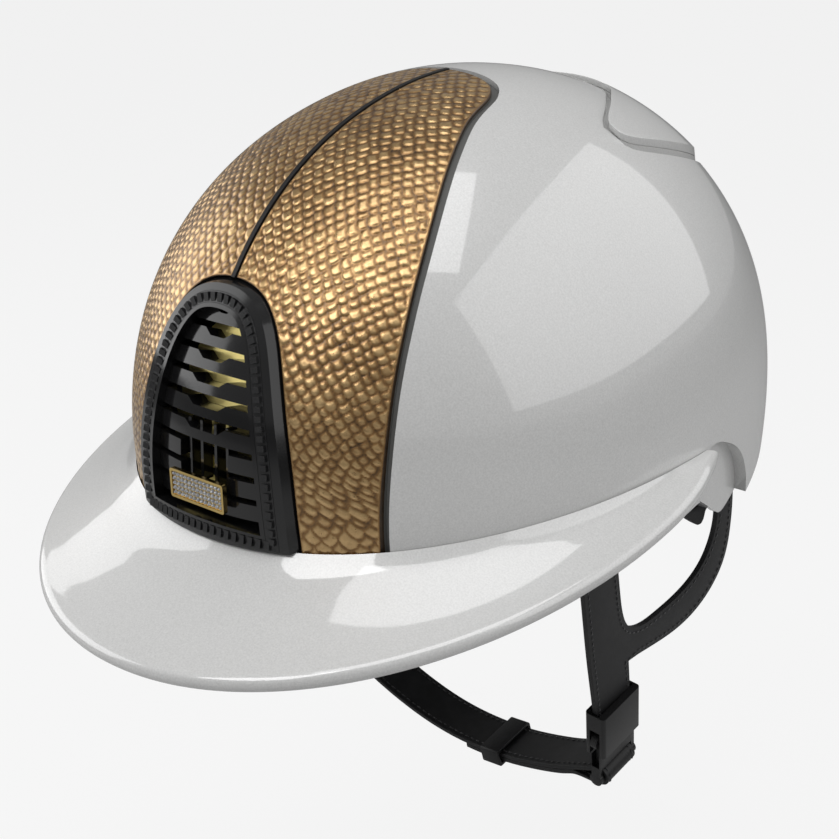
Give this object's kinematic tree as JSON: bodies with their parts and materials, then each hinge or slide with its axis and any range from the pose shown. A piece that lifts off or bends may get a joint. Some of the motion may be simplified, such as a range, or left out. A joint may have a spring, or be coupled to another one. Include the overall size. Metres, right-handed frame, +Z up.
{
  "type": "polo helmet",
  "caption": "Polo helmet with a wide round visor, scaled front panel, louvred vent with shutter, rear vent cover, padded liner and buckled chin harness.",
  "frame": {"origin": "centre of the shell's dome, at the height of its widest level section", "axes": "+Z up as worn, -Y towards the front (visor), +X towards the wearer's left"},
  "size_m": [0.2566, 0.3448, 0.303],
  "materials": {
    "shell_white": "pearl gloss lacquer",
    "visor_white": "pearl gloss lacquer",
    "screw_steel": "plain",
    "carrier_black": "moulded",
    "panel_leather": "metallic gold, embossed with scales",
    "piping_gold": "metallic gold cord",
    "grille_black": "gloss black",
    "beading_black": "gloss black, ribbed",
    "shutter_gold": "metallic yellow gold",
    "tab_gold": "polished",
    "stone_clear": "cut and mirrored at the back",
    "foam_black": "moulded foam",
    "edge_black": "woven",
    "pad_fabric": "brushed, soft",
    "flap_leather": "fine grain",
    "strap_black": "smooth, stitched",
    "anchor_plastic": "moulded",
    "rivet_steel": "plain",
    "buckle_plastic": "moulded, satin",
    "chin_leather": "smooth, stitched",
    "keeper_leather": "smooth"
  },
  "bodies": {
    "helmet": {"outer_shell": "shell_white", "polo_visor": "visor_white", "visor_screws": "screw_steel", "panel_carrier": "carrier_black", "panel_skin_left": "panel_leather", "panel_skin_right": "panel_leather", "panel_piping": "piping_gold", "grille_frame": "grille_black", "grille_beading": "beading_black", "rear_vent_cover": "shell_white", "rear_vent_screen": "grille_black", "foam_liner": "foam_black", "liner_edge_cover": "edge_black", "brow_pad": "pad_fabric", "nape_pad": "pad_fabric", "crown_pad": "pad_fabric", "side_pad_left": "pad_fabric", "side_pad_right": "pad_fabric", "ear_flap_left": "flap_leather", "ear_flap_right": "flap_leather", "strap_left": "strap_black", "strap_right": "strap_black", "strap_anchors": "anchor_plastic", "strap_rivets": "rivet_steel", "strap_ring": "buckle_plastic", "buckle_socket": "buckle_plastic"},
    "shutter": {"vent_shutter": "shutter_gold", "shutter_tab": "tab_gold", "tab_stones": "stone_clear"},
    "chin_band": {"chin_strap": "chin_leather", "buckle_plug": "buckle_plastic"},
    "keeper": {"strap_keeper": "keeper_leather"},
    "prong_front": {"release_prong_front": "buckle_plastic"},
    "prong_rear": {"release_prong_rear": "buckle_plastic"}
  },
  "joints": [
    {"name": "shutter_lift", "type": "hinge", "parent": "helmet", "child": "shutter", "pos_m": [0, -0.0046, 0.01048], "axis": [-1, 0, 0], "range_deg": [0, 2]},
    {"name": "chin_open", "type": "hinge", "parent": "helmet", "child": "chin_band", "pos_m": [-0.08399, 0.00354, -0.10597], "axis": [0, 0.973, 0.2307], "range_deg": [0, 60]},
    {"name": "keeper_slide", "type": "slide", "parent": "chin_band", "child": "keeper", "axis": [0.9962, -0.0202, 0.0851], "range_m": [-0.004, 0.004]},
    {"name": "prong_front_press", "type": "slide", "parent": "chin_band", "child": "prong_front", "axis": [0, 0.973, 0.2307], "range_m": [0, 0.0016], "stiffness_N_per_m": 400, "springref_m": -0.0005},
    {"name": "prong_rear_press", "type": "slide", "parent": "chin_band", "child": "prong_rear", "axis": [0, -0.973, -0.2307], "range_m": [0, 0.0016], "stiffness_N_per_m": 400, "springref_m": -0.0005}
  ]
}
